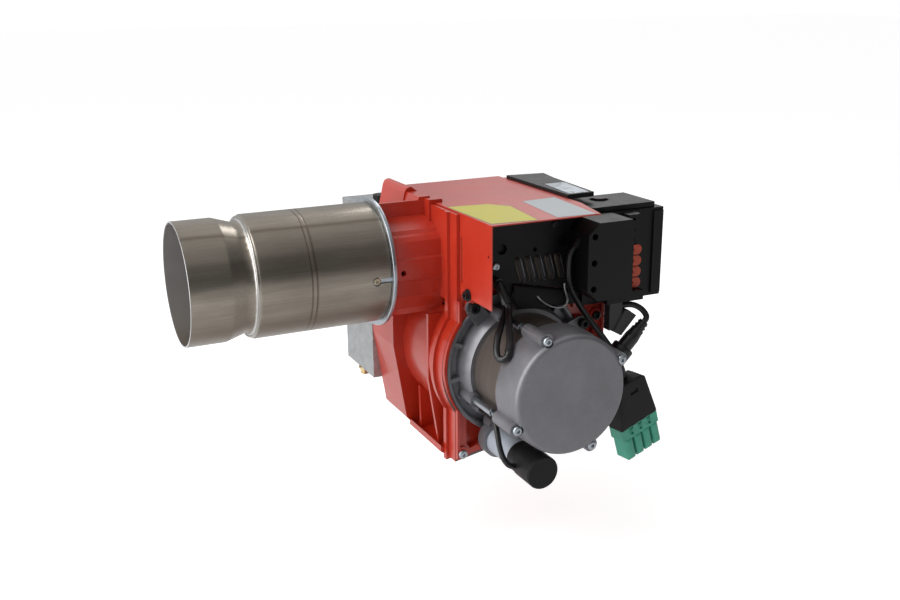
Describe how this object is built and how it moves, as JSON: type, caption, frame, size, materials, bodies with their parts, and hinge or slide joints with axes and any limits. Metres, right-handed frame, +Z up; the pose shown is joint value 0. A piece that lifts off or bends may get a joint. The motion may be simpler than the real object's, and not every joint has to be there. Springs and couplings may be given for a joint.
{
  "type": "oil burner",
  "caption": "Oil burner with a stainless blast tube, red cast fan housing and cover, finned-front aluminium motor, control unit and green plug.",
  "frame": {"origin": "on the axis of the blast tube, at the front face of the ring that meets the boiler", "axes": "X along the blast tube with its mouth towards -X, the motor towards -Y, Z up"},
  "size_m": [0.46, 0.3353, 0.2631],
  "materials": {
    "stainless": "satin",
    "zinc": "satin",
    "brass_steel": "satin",
    "brass": "satin",
    "steel": "satin",
    "black_steel": "satin",
    "stator_steel": "satin",
    "galvanised": "satin",
    "copper": "satin",
    "cast_aluminium": "satin",
    "red_paint": "gloss",
    "black_plastic": "satin",
    "grey_plastic": "satin",
    "red_plastic": "gloss",
    "orange_plastic": "satin",
    "green_plastic": "satin",
    "white_plastic": "satin",
    "ceramic": "gloss",
    "gasket": "matte",
    "cable": "satin"
  },
  "bodies": {
    "root": {"blast_tube": "stainless", "tube_screws": "brass_steel", "flange_ring": "zinc", "nozzle_line": "brass", "nozzle_holder": "brass", "oil_nozzle": "brass", "brake_plate": "stainless", "electrode_insulators": "ceramic", "electrode_rods": "steel", "ignition_transformer": "black_plastic", "flame_sensor": "black_plastic", "fan_housing": "red_paint", "housing_gasket": "gasket", "motor_plate": "red_paint", "plate_screws": "zinc", "motor_bolts": "black_steel", "cover": "red_paint", "cover_screws": "black_steel", "rear_trim": "black_plastic", "badge_plate": "zinc", "electrics_panel": "black_plastic", "panel_screws": "zinc", "wire_hook": "steel", "control_unit": "black_plastic", "control_lid": "black_plastic", "terminal_block": "black_plastic", "terminal_keys": "orange_plastic", "mains_plug": "black_plastic", "mains_lead": "cable", "loop_sleeve": "cable", "loop_lead": "cable", "motor_lead": "cable", "motor_plug": "cable", "side_connector": "grey_plastic", "plug_hood": "black_plastic", "plug_insert": "green_plastic", "motor_flange": "cast_aluminium", "stator": "stator_steel", "end_shield": "cast_aluminium", "through_bolts": "zinc", "bolt_sleeves": "zinc", "motor_bearings": "steel", "pump_body": "cast_aluminium", "pump_cover": "cast_aluminium", "pump_valve": "black_plastic", "oil_pipe": "copper", "intake_box": "galvanised", "box_fitting": "brass", "capacitor": "white_plastic", "capacitor_cap": "black_plastic", "capacitor_lead": "cable"},
    "rotor": {"motor_shaft": "steel", "rotor_core": "steel", "fan_wheel": "galvanised", "shaft_coupling": "white_plastic", "pump_shaft": "steel"},
    "damper": {"air_damper": "galvanised", "damper_knob": "black_plastic"},
    "reset": {"reset_button": "red_plastic"}
  },
  "joints": [
    {"name": "rotor_spin", "type": "hinge", "parent": "root", "child": "rotor", "pos_m": [0.116, -0.1, -0.0935], "axis": [0, 1, 0], "continuous": true},
    {"name": "damper_swing", "type": "hinge", "parent": "root", "child": "damper", "pos_m": [0.0523, 0.0943, 0], "axis": [0, 0, 1], "range_deg": [0, 75]},
    {"name": "reset_press", "type": "slide", "parent": "root", "child": "reset", "axis": [0, 0, 1], "range_m": [-0.0025, 0], "stiffness_N_per_m": 400, "springref_m": 0.0005}
  ]
}
